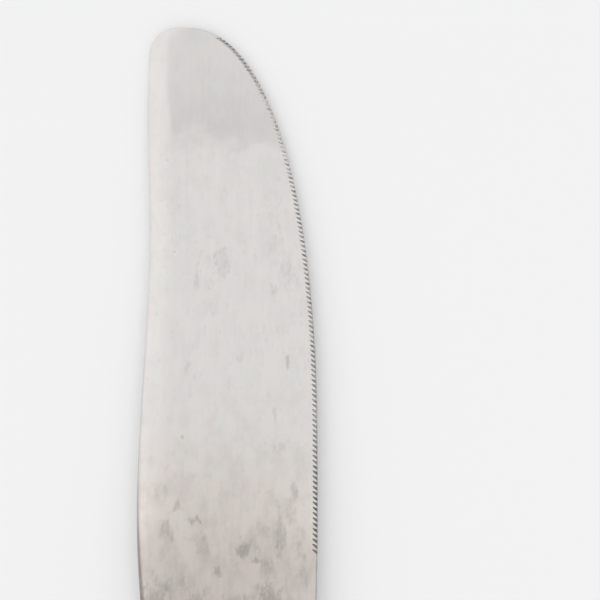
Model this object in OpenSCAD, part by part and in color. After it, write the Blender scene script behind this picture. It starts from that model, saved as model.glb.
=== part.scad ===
// Table knife with a finely serrated, hump-backed blade and a hollow handle.
//
// The knife lies on its side, as it does on a table. X runs across it, from the spine (-X) to
// the cutting edge (+X). Y runs along it, with the tip at +Y, and Z is up. The handle thickens
// towards its butt, so the knife lies on the flat of its lower shell with the blade dipping
// until its tip just touches the table. The origin is the bottom centre of the whole knife.
//
// A knife of this kind is made from a blade that is forged in one piece with its bolster and
// tang, a ferrule that the tang goes through, two stamped handle shells, the solder films that
// join them, and the cement that fills the handle and grips the tang.

/* [Blade] */
// Length of the blade, from its tip to the bolster
blade_l = 118; // [105:1:130]
// Width of the blade across the hump of its spine
blade_w = 21.4; // [19:0.2:24]
// Distance of the cutting edge from the centre line of the handle
edge_x = 8.5; // [7.5:0.1:10]
// Distance of the nose, the foremost point of the tip, from the same line, on the spine's side
nose_x = 8.8; // [7.5:0.1:10]
// Length of the curved belly of the cutting edge, from the tip
belly_l = 55; // [45:1:65]
// Fullness of the belly, where 2 is an ellipse and more is squarer
belly_power = 2.2; // [2:0.1:2.6]
// Length of the round corner between the nose and the spine
corner_l = 4.6; // [3:0.1:8]
// Fullness of that corner
corner_power = 2.8; // [2:0.1:3.2]
// How far the spine at the tip stands out past the hump
tip_rise = 0.35; // [0:0.05:0.8]
// How far the spine dips in at its waist, measured from the hump
waist_dip = 0.55; // [0.2:0.05:1.2]
// Distance of the spine's waist from the tip
waist_s = 32; // [26:1:38]
// Distance of the spine's hump from the tip
hump_s = 60; // [52:1:70]
// Length over which the cutting edge draws in to the bolster
heel_l = 56; // [20:1:60]
// Thickness of the spine at the bolster
spine_t = 2.6; // [2.2:0.1:3.2]
// Thickness of the spine at the tip
tip_t = 1.3; // [1:0.1:1.8]
// Thickness left at the cutting edge
edge_t = 0.5; // [0.44:0.02:0.7]
// Radius of the polished corners of the spine, in front of its hump
spine_r = 0.35; // [0.2:0.05:0.45]
// Radius of those corners behind the hump
spine_back_r = 0.85; // [0.5:0.05:0.9]
// Fullness of the ground faces between spine and edge, where 1 is a flat wedge
grind_power = 1.6; // [1.2:0.1:2.2]

/* [Serration] */
// Pitch of the grooves along the cutting edge
groove_pitch = 0.616; // [0.6:0.004:1]
// Distance of the first groove from the tip
groove_from = 1.6; // [1.4:0.2:6]
// Distance of the last groove from the tip
groove_to = 68; // [40:1:74]
// Radius of each groove
groove_r = 0.2; // [0.16:0.01:0.28]
// Length of a groove, in from the cutting edge
groove_l = 0.65; // [0.5:0.05:1]
// Depth of a groove at the cutting edge
groove_d = 0.26; // [0.2:0.02:0.36]
// Slant of the grooves, whose outer ends lean towards the handle
groove_slant = 18; // [0:1:30]

/* [Bolster and tang] */
// Length over which the blade flares out into the bolster
flare_l = 12; // [8:1:16]
// Length of the oval bolster
bolster_l = 7; // [5:0.5:10]
// Width of the bolster
bolster_w = 13.2; // [12:0.1:14]
// Thickness of the bolster
bolster_t = 6.9; // [6.4:0.1:7.2]
// Share of the bolster's width that its rounded sides take up
bolster_share = 0.75; // [0.6:0.05:0.9]
// Depth of the groove round the bolster
bolster_groove = 0.45; // [0.2:0.05:0.8]
// Width of the groove round the bolster
bolster_groove_w = 2.4; // [1.5:0.1:3.5]
// Length of the tang behind the bolster
tang_l = 46; // [35:1:60]
// Width of the tang at the bolster
tang_w = 6.4; // [5:0.1:7]
// Width of the tang at its end
tang_end_w = 3.6; // [3:0.1:4.6]
// Thickness of the tang
tang_t = 2.6; // [2:0.1:3]
// Depth of the notches that key the tang into the cement
notch_d = 0.7; // [0.4:0.1:0.9]
// Notches on each side of the tang
notch_n = 3; // [2:1:4]

/* [Ferrule] */
// Length of the ferrule that shows
ferrule_l = 5; // [4:0.5:7]
// Width of the handle at the ferrule's front face
front_w = 13.6; // [13:0.1:15]
// How far the ferrule's bead stands out
bead_h = 0.3; // [0.1:0.05:0.3]
// Length of that bead along the ferrule
bead_l = 1.8; // [1:0.1:2.4]
// Thickness of the ferrule's front wall
ferrule_wall = 1; // [0.8:0.1:1.4]
// Length of the spigot that goes into the handle shells
spigot_l = 3; // [2:0.5:5]
// Wall of the spigot
spigot_wall = 0.6; // [0.4:0.05:0.8]

/* [Handle] */
// Length of the handle, ferrule included
handle_l = 105; // [92:1:116]
// Width of the handle at its narrowest
grip_w = 13; // [12:0.1:15]
// Distance of that narrowest place behind the ferrule's front face
grip_at = 15; // [12:1:20]
// Width of the handle at the butt
butt_w = 20; // [17:0.5:22]
// Thickness of the handle between the planes of its flats, at the ferrule's front face
neck_t = 8; // [7.6:0.1:8.8]
// How much thinner than that the ferrule's front face is
front_drop = 0.7; // [0.65:0.05:0.9]
// Length over which that drop fades out, behind the ferrule's front face
swell_l = 7; // [5.5:0.5:12]
// Length of the rounded butt
butt_l = 12; // [8:1:16]
// Share of the handle's width that its rounded sides take up
side_share = 0.6; // [0.45:0.05:0.8]
// Wall of the handle shells
shell_wall = 0.8; // [0.5:0.05:1]

/* [Fits] */
// Clearance between the cement and what it fills or grips, and between the tang and its slot
cement_gap = 0.05; // [0.02:0.01:0.1]
// Clearance between the ferrule's spigot and the shells
spigot_gap = 0.05; // [0.02:0.01:0.1]
// Thickness of the solder films in the joints
solder_t = 0.12; // [0.08:0.02:0.2]

/* [Hidden] */

steel_colour = [0.78, 0.77, 0.75];
silver_colour = [0.84, 0.83, 0.80];
solder_colour = [0.66, 0.66, 0.63];
cement_colour = [0.55, 0.50, 0.42];

// Places along the knife. Distances s run back from the tip and distances d run back from the
// ferrule's front face, which is at y = 0 until the finished pieces move to the origin.
tip_y = blade_l + bolster_l;
shell_d = ferrule_l + solder_t;
spigot_d = shell_d + spigot_l;
straight_d = handle_l - butt_l;

// Places across the knife
hump_x = edge_x - blade_w;
tip_spine_x = hump_x - tip_rise;
waist_x = hump_x + waist_dip;

// Insets of the inner surfaces from the outside of the handle
spigot_outer = shell_wall + spigot_gap;
spigot_inner = spigot_outer + spigot_wall;

// Small chamfers and blunt ends
nose_blunt = 0.03; // the tip's outline is cut off this far back, so that the nose isn't a point
butt_blunt = 0.998; // and the butt's at this share of its length
joint_chamfer = 0.25; // on the bolster's back edge and the ferrule's front edge
chamfer_l = 0.3;
rim_l = 0.6; // the rim of the tip is thinned over this length
rim_share = 0.6; // to this share of the blade's thickness
round_lead = 12; // the spine's corners start to grow rounder this far in front of the hump
round_l = 30; // and do so over this length

// ---- Curves ------------------------------------------------------------------------------

function clamp01(u) = min(1, max(0, u));
function mix(a, b, u) = a + (b - a) * u;
// A smooth step from 0 to 1
function ease(u) = (1 - cos(180 * clamp01(u))) / 2;
// A smooth bump of height 1, for u from 0 to 1
function bump(u) = u > 0 && u < 1 ? pow(sin(180 * u), 2) : 0;
// A quarter of a superellipse, which climbs steeply from 0 and levels out at 1
function quarter(u, power) = pow(1 - pow(1 - clamp01(u), power), 1 / power);

// The cutting edge and the spine, at a distance s from the tip
function edge_line(s) =
    let (belly = mix(-nose_x, edge_x, quarter(max(s, nose_blunt) / belly_l, belly_power)))
    mix(belly, bolster_w / 2, ease((s - blade_l + heel_l) / heel_l));
function spine_line(s) =
    s < corner_l ? mix(-nose_x, tip_spine_x, quarter(max(s, nose_blunt) / corner_l, corner_power)) :
    s < waist_s ? mix(tip_spine_x, waist_x, ease((s - 2 * corner_l) / (waist_s - 2 * corner_l))) :
    s < hump_s ? mix(waist_x, hump_x, ease((s - waist_s) / (hump_s - waist_s))) :
    mix(hump_x, -bolster_w / 2, ease((s - hump_s) / (blade_l - hump_s)));

// Half the blade's thickness at a distance s from the tip, a share q of the way across from the
// spine to the edge. The spine tapers to the tip, and the faces are ground towards the edge.
function half_thickness(s, q) =
    let (spine = mix(tip_t, spine_t, clamp01(s / blade_l)), rim = mix(rim_share, 1, quarter(s / rim_l, 2)))
    rim * mix(spine, edge_t, pow(q, grind_power)) / 2;

// Slope of each of the handle's flats. Their planes run out to touch the blade's faces just
// behind the tip.
taper = (neck_t / 2 - half_thickness(rim_l, 0)) / (tip_y - rim_l);

// Width and thickness of the handle at a distance d, before the butt is rounded off
function handle_width(d) =
    let (grip = mix(front_w, grip_w, ease(d / grip_at)))
    mix(grip, butt_w, ease((d - grip_at) / (straight_d - grip_at)));
function handle_depth(d) = neck_t + 2 * taper * d - front_drop * (1 - ease(d / swell_l));
// Factor by which the rounded butt narrows a surface that lies an inset inside the outside
function butt_factor(d, inset, power) =
    let (u = clamp01((d - straight_d) / (butt_l - inset)))
    pow(1 - pow(min(u, butt_blunt), power), 1 / power);

// ---- Lofts -------------------------------------------------------------------------------

// A closed solid through rings. All rings have equally many points, which run clockwise as
// seen from behind (-Y), and each ring lies behind the one before. Where the rings turn back
// towards +Y they line a hollow, which makes the solid a cup.
module loft(rings) {
    n = len(rings[0]);
    last = len(rings) - 1;
    sides = [for (i = [0 : last - 1], j = [0 : n - 1])
        let (a = i * n + j, b = i * n + (j + 1) % n)
        each [[a, b, b + n], [a, b + n, a + n]]];
    front = [for (j = [1 : n - 2]) [0, j + 1, j]];
    back = [for (j = [1 : n - 2]) [last * n, last * n + j, last * n + j + 1]];
    polyhedron(points = [for (r = rings) each r], faces = concat(front, sides, back));
}

function reversed(list) = [for (i = [len(list) - 1 : -1 : 0]) list[i]];

// A ring from its upper half, which runs from the spine's side to the edge's side, and its
// image below. The points at both sides lie at mid height.
function ring(y, left, upper, right) =
    let (lower = [for (p = reversed(upper)) [p[0], -p[1]]])
    [for (p = concat([[left, 0]], upper, [[right, 0]], lower)) [p[0], y, p[1]]];

// Section of the blade: a rounded spine and two ground faces
face_shares = [0.15, 0.32, 0.5, 0.68, 0.85, 1];
function spine_radius(s) = mix(spine_r, spine_back_r, ease((s - hump_s + round_lead) / round_l));
function blade_ring(s) =
    let (spine = spine_line(s), width = edge_line(s) - spine, h = half_thickness(s, 0),
         r = min(spine_radius(s), 0.8 * h, width / 8), corner = 1 - cos(45),
         rounding = [[0, h - r], [corner * r, h - corner * r], [r, half_thickness(s, r / width)]],
         face = [for (q = face_shares) [q * width, half_thickness(s, q)]],
         upper = [for (p = concat(rounding, face)) [spine + p[0], p[1]]])
    ring(tip_y - s, spine, upper, spine + width);

// Section of the bolster: flat above and below and elliptical at the sides, with as many points
// as the blade's section
oval_n = len(face_shares) + 4;
function oval_ring(y, inset) =
    let (half = bolster_w / 2 - inset, side = half * bolster_share, flat = half - side,
         height = bolster_t / 2 - inset,
         upper = [for (i = [1 : oval_n - 1]) let (turn = 180 * (1 - i / oval_n))
             [sign(cos(turn)) * flat + side * cos(turn), height * sin(turn)]])
    ring(y, -half, upper, half);

// The blade flares into the bolster in a hollow sweep
flare_power = 2.4;
function flare_ring(s) =
    let (u = pow(clamp01((s - blade_l + flare_l) / flare_l), flare_power),
         blade = blade_ring(s), oval = oval_ring(tip_y - s, 0))
    [for (i = [0 : len(blade) - 1]) mix(blade[i], oval[i], u)];

// Section of the handle at a distance d, set in by an inset: flat above and below, and
// elliptical at the sides
side_n = 10;
butt_power_across = 2.2;
butt_power_up = 2.6;
function handle_ring(d, inset) =
    let (across = butt_factor(d, inset, butt_power_across), half = handle_width(d) / 2,
         side = (half * side_share - inset) * across, flat = half * (1 - side_share) * across,
         height = (handle_depth(d) / 2 - inset) * butt_factor(d, inset, butt_power_up))
    [for (sign = [-1, 1], i = [0 : side_n])
        let (turn = sign * (90 - 180 * i / side_n))
        [sign * (flat + side * cos(turn)), -d, height * sin(turn)]];

// Distances of the rings. They lie closer together at the tip, the flare and the butt.
blade_step = 3.2;
nose_step = 0.08;
blade_stations = [for (s = 0; s < blade_l - flare_l;
                       s = s + min(blade_step, max(nose_step, 0.3 * s))) s];
flare_n = 8;
flare_stations = [for (i = [0 : flare_n]) blade_l - flare_l * (1 - i / flare_n)];
bolster_n = 14;
swell_step = 1.3;
handle_step = 5;
butt_n = 9;
function handle_stations(from, inset) =
    concat([for (d = from; d < straight_d - 1; d = d + (d < swell_l ? swell_step : handle_step)) d],
           [for (i = [0 : butt_n]) straight_d + (butt_l - inset) * sin(90 * i / butt_n)]);
function handle_rings(from, inset) = [for (d = handle_stations(from, inset)) handle_ring(d, inset)];

// Inset of the bolster's surface: a groove round its middle and a chamfer at its back edge
function bolster_inset(t) =
    bolster_groove * bump((t - bolster_l / 2) / bolster_groove_w + 0.5)
    + joint_chamfer * clamp01(1 - (bolster_l - t) / chamfer_l);

blade_rings = concat(
    [for (s = blade_stations) blade_ring(s)],
    [for (s = flare_stations) flare_ring(s)],
    [for (t = [for (i = [1 : bolster_n]) (bolster_l - chamfer_l) * i / bolster_n])
        oval_ring(bolster_l - t, bolster_inset(t))],
    [oval_ring(0, joint_chamfer)]);

// The whole knife dips by the slope of the handle's flats, so that the lower one lies level.
// Then the box of the blade and handle gives the origin.
dip = atan(taper);
outline = [for (r = concat(blade_rings, handle_rings(0, 0)), p = r)
    [p[0], p[1] * cos(dip) + p[2] * sin(dip), p[2] * cos(dip) - p[1] * sin(dip)]];
low = [for (k = [0 : 2]) min([for (p = outline) p[k]])];
high = [for (k = [0 : 2]) max([for (p = outline) p[k]])];
module at_origin() {
    translate([-(low[0] + high[0]) / 2, -(low[1] + high[1]) / 2, -low[2]])
        rotate([-dip, 0, 0])
        children();
}

// ---- Blade -------------------------------------------------------------------------------

// Direction of the cutting edge at a distance s: the angle by which its outward normal turns
// from +X towards the tip
function edge_turn(s) = atan((edge_line(s + 0.05) - edge_line(s - 0.05)) / 0.1);
groove_stations = [for (s = groove_from; s < groove_to; s = s + groove_pitch * cos(edge_turn(s))) s];

// One groove's cutter. Its lower side leaves the upper face a groove's length in from the edge
// and reaches the groove's depth at the edge.
module groove_cutter(s) {
    fall = atan(groove_d / groove_l);
    past = 0.5; // the cutter runs on this far past both ends of the groove
    translate([edge_line(s), tip_y - s, edge_t / 2 - groove_d + groove_r / cos(fall)])
        rotate([0, 0, edge_turn(s) - groove_slant])
        rotate([0, 90 + fall, 0])
        translate([0, 0, -groove_l / cos(fall) - past])
        cylinder(h = groove_l / cos(fall) + 2 * past, r = groove_r, $fn = 8);
}

// The tang is a flat tapered bar with notches in both sides. With a gap it is the hole for it.
tang_straight = ferrule_wall + 1; // it keeps its full width this far back
notch_step = (tang_l - tang_straight) / (notch_n + 1);
notch_r = 1.5;
module tang(gap) {
    root = 1; // runs this far into the bolster
    nip = 0.8; // chamfer at its end
    wide = tang_w / 2 + gap;
    narrow = tang_end_w / 2 + gap;
    end = -tang_l - gap;
    difference() {
        translate([0, 0, -tang_t / 2 - gap]) linear_extrude(tang_t + 2 * gap) polygon([
            [-wide, root], [wide, root], [wide, -tang_straight], [narrow, end + nip],
            [narrow - nip, end], [nip - narrow, end], [-narrow, end + nip],
            [-wide, -tang_straight]]);
        for (side = [-1, 1], i = [1 : notch_n]) {
            half = mix(tang_w, tang_end_w, i / (notch_n + 1)) / 2;
            translate([side * (half - notch_d + notch_r), -tang_straight - i * notch_step, 0])
                cylinder(h = 2 * tang_t, r = notch_r - gap, center = true, $fn = 32);
        }
    }
}

module blade() {
    color(steel_colour) at_origin() difference() {
        union() {
            loft(blade_rings);
            tang(0);
        }
        for (s = groove_stations) groove_cutter(s);
    }
}

// ---- Ferrule -----------------------------------------------------------------------------

// Inset of the ferrule's outside: a chamfered front edge, and a bead that stands out behind it
function ferrule_inset(d) =
    joint_chamfer * clamp01(1 - d / chamfer_l) - bead_h * bump((d - chamfer_l) / bead_l);
bead_n = 8;
ferrule_stations = concat(
    [0], [for (i = [0 : bead_n]) chamfer_l + bead_l * i / bead_n],
    [(chamfer_l + bead_l + ferrule_l) / 2, ferrule_l]);
spigot_stations = [ferrule_l, shell_d, (shell_d + spigot_d) / 2, spigot_d];
hollow_stations = [spigot_d, (spigot_d + ferrule_wall) / 2, ferrule_wall];

// A cup: its front wall has the slot for the tang, and its rim is the spigot
module ferrule() {
    slot = [tang_w + 2 * cement_gap, 3 * ferrule_wall, tang_t + 2 * cement_gap];
    color(silver_colour) at_origin() difference() {
        loft(concat(
            [for (d = ferrule_stations) handle_ring(d, ferrule_inset(d))],
            [for (d = spigot_stations) handle_ring(d, spigot_outer)],
            [for (d = hollow_stations) handle_ring(d, spigot_inner)]));
        cube(slot, center = true);
    }
}

// The film of solder between the ferrule's shoulder and the shells
module ferrule_solder() {
    color(solder_colour) at_origin() difference() {
        loft([for (d = [ferrule_l, shell_d]) handle_ring(d, 0)]);
        loft([for (d = [ferrule_l - 1, ferrule_l, shell_d, shell_d + 1])
            handle_ring(d, spigot_outer - spigot_gap)]);
    }
}

// ---- Handle ------------------------------------------------------------------------------

// The whole hollow handle behind the ferrule, before it is parted into its pieces
module hollow_handle() {
    loft(concat(reversed(handle_rings(shell_d, shell_wall)), handle_rings(shell_d, 0)));
}

// The part of the handle between two heights over its mid plane
module handle_between(from, to) {
    at_origin() intersection() {
        hollow_handle();
        translate([-butt_w, -handle_l - 1, from]) cube([2 * butt_w, handle_l + 1, to - from]);
    }
}

module handle_shell_upper() {
    color(silver_colour) handle_between(solder_t / 2, butt_w);
}

module handle_shell_lower() {
    color(silver_colour) handle_between(-butt_w, -solder_t / 2);
}

// The film of solder in the seam that runs round the handle's sides and butt
module seam_solder() {
    color(solder_colour) handle_between(-solder_t / 2, solder_t / 2);
}

// The cement fills the ferrule and the shells, all round the tang
module cement_core() {
    front = ferrule_wall + cement_gap;
    step = spigot_d + cement_gap; // behind the spigot it widens to fill the shells
    inset = shell_wall + cement_gap;
    in_ferrule = [front, (front + step) / 2, step];
    in_shells = concat([step], [for (d = handle_stations(shell_d, inset)) if (d > step + 0.5) d]);
    color(cement_colour) at_origin() difference() {
        loft(concat(
            [for (d = in_ferrule) handle_ring(d, spigot_inner + cement_gap)],
            [for (d = in_shells) handle_ring(d, inset)]));
        tang(cement_gap);
    }
}

blade();
ferrule();
ferrule_solder();
handle_shell_upper();
handle_shell_lower();
seam_solder();
cement_core();
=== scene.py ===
# %% [markdown]
# # A table knife, dressed in Blender
#
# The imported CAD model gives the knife's size and place. This lesson models its four visible
# metal pieces again with smooth surfaces, gives every piece a finish made of nodes, and sets
# up the camera of the photograph over a pale table.

# %% Load the frame
from math import atan, cos, degrees, pi, radians, sin

import bmesh
import bpy
from mathutils import Matrix, Vector


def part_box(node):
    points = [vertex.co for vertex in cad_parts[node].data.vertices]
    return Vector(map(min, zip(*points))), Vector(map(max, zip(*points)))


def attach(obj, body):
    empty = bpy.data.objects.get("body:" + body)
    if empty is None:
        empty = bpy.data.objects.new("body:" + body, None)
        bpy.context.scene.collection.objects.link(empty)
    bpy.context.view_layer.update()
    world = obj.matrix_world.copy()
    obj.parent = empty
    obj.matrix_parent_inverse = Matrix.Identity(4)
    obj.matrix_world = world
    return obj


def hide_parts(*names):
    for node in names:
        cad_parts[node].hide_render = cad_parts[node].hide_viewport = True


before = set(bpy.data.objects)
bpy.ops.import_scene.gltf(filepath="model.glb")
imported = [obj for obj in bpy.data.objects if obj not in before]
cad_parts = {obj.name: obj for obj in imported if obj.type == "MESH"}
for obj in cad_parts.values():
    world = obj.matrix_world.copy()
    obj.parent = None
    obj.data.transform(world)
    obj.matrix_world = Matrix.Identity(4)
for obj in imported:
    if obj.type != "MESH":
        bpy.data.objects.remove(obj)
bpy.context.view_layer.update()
print("nodes:", sorted(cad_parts))

# %% [markdown]
# ## The blade's outline
#
# The knife is drawn in millimetres in its maker's frame: y = 0 is the joint between bolster and
# ferrule, the tip points to +Y, the spine to -X, and the blade's mid plane is z = 0. Sizes have
# the names and values of the CAD source, so that a new piece fits its CAD node. Only the nose,
# the corner beside it and the grooves differ, by less than 0.3 mm and by how far the grooves lean
# back, because this finer mesh can follow the photograph more closely. A name that ends in _l is
# a length, _w a width, _t a thickness, _r a radius, _x or _y a place, _s a distance behind the
# tip, and _d a depth.
#
# The outline of a blade is a few smooth curves. A quarter of a superellipse makes the round nose
# and the belly of the edge, and cosine steps join the dips and swells of the spine without a
# kink. Points could be drawn by hand instead, but formulas stay smooth at any resolution.

# %% Sizes of the blade in millimetres
blade_l, blade_w = 118, 21.4
bolster_l, bolster_w = 7, 13.2
edge_x, nose_x, nose_blunt = 8.5, 8.65, 0.03
belly_l, belly_power = 55, 2.2
corner_l, corner_power = 4.4, 2.4
tip_rise, waist_dip = 0.35, 0.55
waist_s, hump_s, heel_l = 32, 60, 56
spine_t, tip_t = 2.6, 1.3
spine_r, spine_back_r, round_lead, round_l = 0.35, 0.85, 12, 30

tip_y = blade_l + bolster_l
hump_x = edge_x - blade_w
tip_spine_x = hump_x - tip_rise
waist_x = hump_x + waist_dip
print("joint to tip:", tip_y, "mm")

# %% Curve helpers and the blade's outline
def clamp01(u):
    return min(1, max(0, u))


def mix(a, b, u):
    return a + (b - a) * u


def ease(u):
    """A cosine step from 0 to 1."""
    return (1 - cos(pi * clamp01(u))) / 2


def bump(u):
    """A smooth swell between 0 and 1 that is 1 in the middle."""
    return sin(pi * u) ** 2 if 0 < u < 1 else 0


def quarter(u, power):
    """A quarter of a superellipse, steep at 0 and level at 1."""
    return (1 - (1 - clamp01(u)) ** power) ** (1 / power)


def edge_line(s):
    belly = mix(-nose_x, edge_x, quarter(max(s, nose_blunt) / belly_l, belly_power))
    return mix(belly, bolster_w / 2, ease((s - blade_l + heel_l) / heel_l))


def spine_line(s):
    if s < corner_l:
        return mix(-nose_x, tip_spine_x, quarter(max(s, nose_blunt) / corner_l, corner_power))
    if s < waist_s:
        return mix(tip_spine_x, waist_x, ease((s - 2 * corner_l) / (waist_s - 2 * corner_l)))
    if s < hump_s:
        return mix(waist_x, hump_x, ease((s - waist_s) / (hump_s - waist_s)))
    return mix(hump_x, -bolster_w / 2, ease((s - hump_s) / (blade_l - hump_s)))


def spine_half(s):
    return mix(tip_t, spine_t, clamp01(s / blade_l)) / 2


def spine_radius(s):
    return mix(spine_r, spine_back_r, ease((s - hump_s + round_lead) / round_l))


print("blade width at the hump:", round(edge_line(hump_s) - spine_line(hump_s), 2), "mm")

# %% [markdown]
# ## Laying the knife down
#
# The handle thickens towards its butt. When the knife lies on the flat of its handle, the whole
# knife dips by the slope of that flat, and its tip touches the table. Each piece is modelled
# level, and one last move scales it to metres, dips it and applies the transform, so that its
# object sits at the origin with its place in its mesh.

# %% The dip, and the move that lays a piece on the table
neck_t, butt_w = 8, 20
rim_l, rim_share = 0.6, 0.6
taper = (neck_t / 2 - spine_half(rim_l)) / (tip_y - rim_l)
dip = atan(taper)
slide_x = -(tip_spine_x + butt_w / 2) / 2
slide_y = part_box("blade")[1][1] * 1000 - tip_y * cos(dip) - rim_share * tip_t / 2 * sin(dip)
slide_z = neck_t / 2 * cos(dip)
lay_down = (Matrix.Translation((slide_x / 1000, slide_y / 1000, slide_z / 1000))
            @ Matrix.Rotation(-dip, 4, "X") @ Matrix.Scale(0.001, 4))
print("dip", round(degrees(dip), 3), "degrees, slides", slide_x, slide_y, slide_z)


def laid(x, y, z):
    return lay_down @ Vector((x, y, z))

# %% [markdown]
# ## Camera
#
# The photograph looks down on the front part of the blade from close by, tilted 15 degrees
# towards the tip. The camera is placed first, because what it sees decides where detail pays.

# %% Camera
view_tilt = radians(14.79)
view_from = 148
aim = Vector((6.4, 87.8, 0.7))
eye = aim + view_from * Vector((0, -sin(view_tilt), cos(view_tilt)))

bpy.ops.object.select_all(action="DESELECT")
bpy.ops.object.camera_add(location=laid(*eye), rotation=(view_tilt - dip, 0, 0))
camera = bpy.context.object
camera.name = "camera"
camera.data.lens = 72
camera.data.sensor_width = 36
camera.data.clip_start = 0.01
camera.data.clip_end = 60
bpy.context.scene.camera = camera
print("camera at", [round(c, 4) for c in camera.location])

# %% [markdown]
# ## Node helpers
#
# A finish is a chain of nodes. These helpers add one node each, set its values and join its
# inputs, so that the materials below read from top to bottom. A tone is worked out with the same
# few sums each time, so those have names of their own.

# %% Add nodes and do sums with them
def connect(tree, node, values):
    """Gives each named input of a node its value, or a link to another node's output."""
    for name, value in values.items():
        if hasattr(value, "is_linked"):
            tree.links.new(value, node.inputs[name])
        else:
            node.inputs[name].default_value = value


def add_node(tree, kind, values=None, **settings):
    node = tree.nodes.new(kind)
    for name, value in settings.items():
        setattr(node, name, value)
    connect(tree, node, values or {})
    return node


def calc(tree, operation, a, b=0.0):
    return add_node(tree, "ShaderNodeMath", {0: a, 1: b}, operation=operation).outputs[0]


def plus(tree, a, b):
    return calc(tree, "ADD", a, b)


def minus(tree, a, b):
    return calc(tree, "SUBTRACT", a, b)


def times(tree, a, b):
    return calc(tree, "MULTIPLY", a, b)


def darker(tree, tone, share):
    """A tone less the given share of it."""
    return times(tree, tone, minus(tree, 1.0, share))


def remap(tree, value, low, high, to_low=0.0, to_high=1.0, smooth=True):
    """A value taken from one range to another and held at both ends."""
    kind = "SMOOTHSTEP" if smooth else "LINEAR"
    node = add_node(tree, "ShaderNodeMapRange", {
        "Value": value, "From Min": low, "From Max": high,
        "To Min": to_low, "To Max": to_high}, interpolation_type=kind)
    return node.outputs["Result"]

# %% Blend colours and start a material
def blend_colour(tree, share, a, b, blend="MIX"):
    return add_node(tree, "ShaderNodeMix", {0: share, 6: a, 7: b},
                    data_type="RGBA", blend_type=blend).outputs[2]


def start_finish(material):
    """Clears a material and gives its node tree and its shader."""
    material.use_nodes = True
    tree = material.node_tree
    tree.nodes.clear()
    output = tree.nodes.new("ShaderNodeOutputMaterial")
    shader = tree.nodes.new("ShaderNodeBsdfPrincipled")
    tree.links.new(shader.outputs[0], output.inputs["Surface"])
    return tree, shader


def new_material(name):
    material = bpy.data.materials.new(name)
    return (material, *start_finish(material))

# %% [markdown]
# ## Table and light
#
# The photograph was taken on a white sheet under light from all round. A large pale floor and
# a bright soft sky give that look. The floor glows a little for the camera and for reflections,
# which keeps the sheet white and the shadow beside the blade as light as in the photograph.
# Polished steel shows what is round it, so the sky isn't even: it is dimmer straight above the
# blade, where the camera hung, a little dimmer low on the spine's side and much more so on the
# cutting edge's side, and dimmer again at the horizon. A lamp behind the butt adds highlights.

# %% Floor
table_size, table_glow = 24, 0.126
pale_shades = ((0.754, 0.754, 0.758, 1), (0.766, 0.766, 0.770, 1))
bpy.ops.object.select_all(action="DESELECT")
bpy.ops.mesh.primitive_plane_add(size=table_size, location=(0, 0, 0))
floor = bpy.context.object
floor.name = "floor"
floor_material, tree, shader = new_material("pale_table")
place = add_node(tree, "ShaderNodeTexCoord").outputs["Object"]
paper = add_node(tree, "ShaderNodeTexNoise", {"Vector": place, "Scale": 9.0, "Detail": 3.0})
shade = blend_colour(tree, paper.outputs["Fac"], *pale_shades)
seen = add_node(tree, "ShaderNodeLightPath")
glow = calc(tree, "MAXIMUM", seen.outputs["Is Camera Ray"], seen.outputs["Is Glossy Ray"])
connect(tree, shader, {"Base Color": shade, "Roughness": 0.9, "Specular IOR Level": 0.0,
                       "Emission Color": (1, 1, 1, 1),
                       "Emission Strength": times(tree, glow, table_glow)})
floor.data.materials.append(floor_material)
print("floor", floor.dimensions[:])

# %% Sky
# Where each dimmer part of the sky begins and ends, and what share of the light it keeps
above_from, above_to, above_light = 8, 2.5, 0.5
spine_from, spine_to, spine_light = -0.45, -0.62, 0.90
edge_from, edge_to, edge_light = 0.42, 0.60, 0.65
horizon_from, horizon_to, horizon_light = 0.12, 0.03, 0.90
sky_light = 1.08

world = bpy.data.worlds.new("soft_studio")
bpy.context.scene.world = world
world.use_nodes = True
tree = world.node_tree
tree.nodes.clear()
outward = add_node(tree, "ShaderNodeTexCoord").outputs["Generated"]
split = add_node(tree, "ShaderNodeSeparateXYZ", {0: outward})
across, height = split.outputs["X"], split.outputs["Z"]
overhead = add_node(tree, "ShaderNodeVectorMath", {0: outward, 1: (0, sin(dip), cos(dip))},
                    operation="DOT_PRODUCT").outputs["Value"]
off_axis = calc(tree, "ARCCOSINE", overhead)
above = remap(tree, off_axis, radians(above_to), radians(above_from), above_light, 1.0)
spine_side = remap(tree, across, spine_from, spine_to, 1.0, spine_light)
edge_side = remap(tree, across, edge_from, edge_to, 1.0, edge_light)
sides = times(tree, times(tree, spine_side, edge_side), sky_light)
horizon = remap(tree, height, horizon_from, horizon_to)
level = plus(tree, darker(tree, sides, horizon), times(tree, horizon, horizon_light))
strength = times(tree, level, above)
backdrop = add_node(tree, "ShaderNodeBackground", {"Color": (1, 1, 1, 1), "Strength": strength})
sky = tree.nodes.new("ShaderNodeOutputWorld")
tree.links.new(backdrop.outputs[0], sky.inputs["Surface"])
bpy.context.scene.view_settings.view_transform = "Standard"
print("sky of", len(tree.nodes), "nodes")

# %% Lamp
bpy.ops.object.light_add(type="AREA", location=(-0.12, -0.60, 0.45))  # behind the butt
lamp = bpy.context.object
lamp.name = "soft_lamp"
lamp.data.shape = "DISK"
lamp.data.size = 0.3
lamp.data.energy = 0.3
lamp.rotation_euler = (Vector((0, 0, 0)) - lamp.location).to_track_quat("-Z", "Y").to_euler()
print("lamp energy", lamp.data.energy)

# %% [markdown]
# ## Tools for the bench
#
# Operators act on what is selected, so each step picks vertices by where they lie. Vertices that
# could be mixed up are first moved well aside, and come back one row or column at a time. A ring of
# vertices is the section of a piece: drawn out along Y and resized again and again, it makes a
# bolster, a ferrule or a handle, as a potter draws up a wall.

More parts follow.
